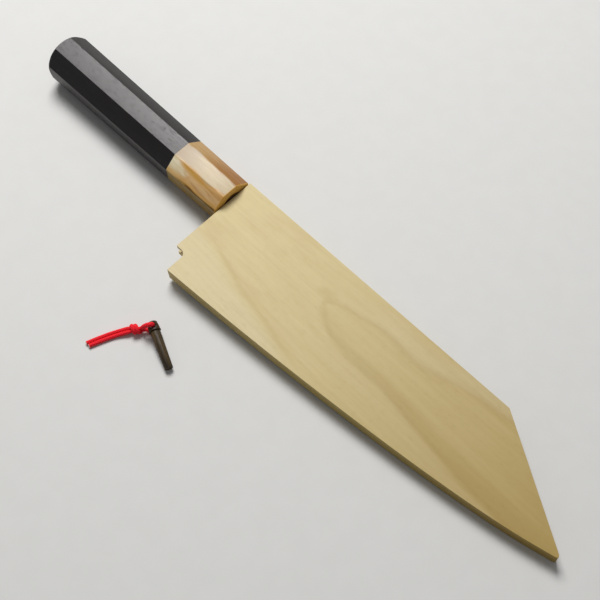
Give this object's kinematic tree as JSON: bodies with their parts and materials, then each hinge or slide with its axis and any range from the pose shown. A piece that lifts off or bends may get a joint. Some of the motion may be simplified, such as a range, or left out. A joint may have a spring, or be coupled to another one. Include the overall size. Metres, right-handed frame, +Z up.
{
  "type": "sheathed kitchen knife",
  "caption": "Clip-pointed kitchen knife with an octagonal handle and horn ferrule, in a pale wooden sheath, with the sheath's retaining pin on a knotted red cord.",
  "frame": {"origin": "on the table, under the middle of the box round knife, sheath and pin, without the cord", "axes": "+X along the knife from the butt towards the tip, +Y towards the spine side, +Z up from the table"},
  "size_m": [0.3708, 0.1162, 0.0252],
  "materials": {
    "steel": "ground and polished, with a satin bevel",
    "ebony": "fine-sanded and oiled, satin",
    "horn": "polished blond horn, marbled and slightly translucent",
    "dowel_wood": "turned, raw",
    "resin": "poured, smooth",
    "pale_wood": "planed and sanded, unlacquered",
    "pin_wood": "turned, oiled",
    "red_cord": "braided, matt with a slight sheen"
  },
  "bodies": {
    "sheath": {"saya_upper_board": "pale_wood", "saya_lower_board": "pale_wood", "saya_spine_strip": "pale_wood", "saya_nose_block": "pale_wood", "saya_edge_strip": "pale_wood"},
    "knife": {"blade": "steel", "handle_body": "ebony", "handle_ferrule": "horn", "handle_dowel": "dowel_wood", "tang_seal": "resin"},
    "pin": {"saya_pin": "pin_wood", "cord_loop": "red_cord", "cord_knot": "red_cord", "cord_tail_a": "red_cord", "cord_tail_b": "red_cord"}
  },
  "joints": [
    {"name": "knife_draw", "type": "slide", "parent": "sheath", "child": "knife", "axis": [-0.9998, -0.0007, 0.018], "range_m": [0, 0.225]},
    {"name": "pin_lift", "type": "slide", "parent": "sheath", "child": "pin", "axis": [0, 0, 1], "range_m": [0, 0.05]}
  ]
}
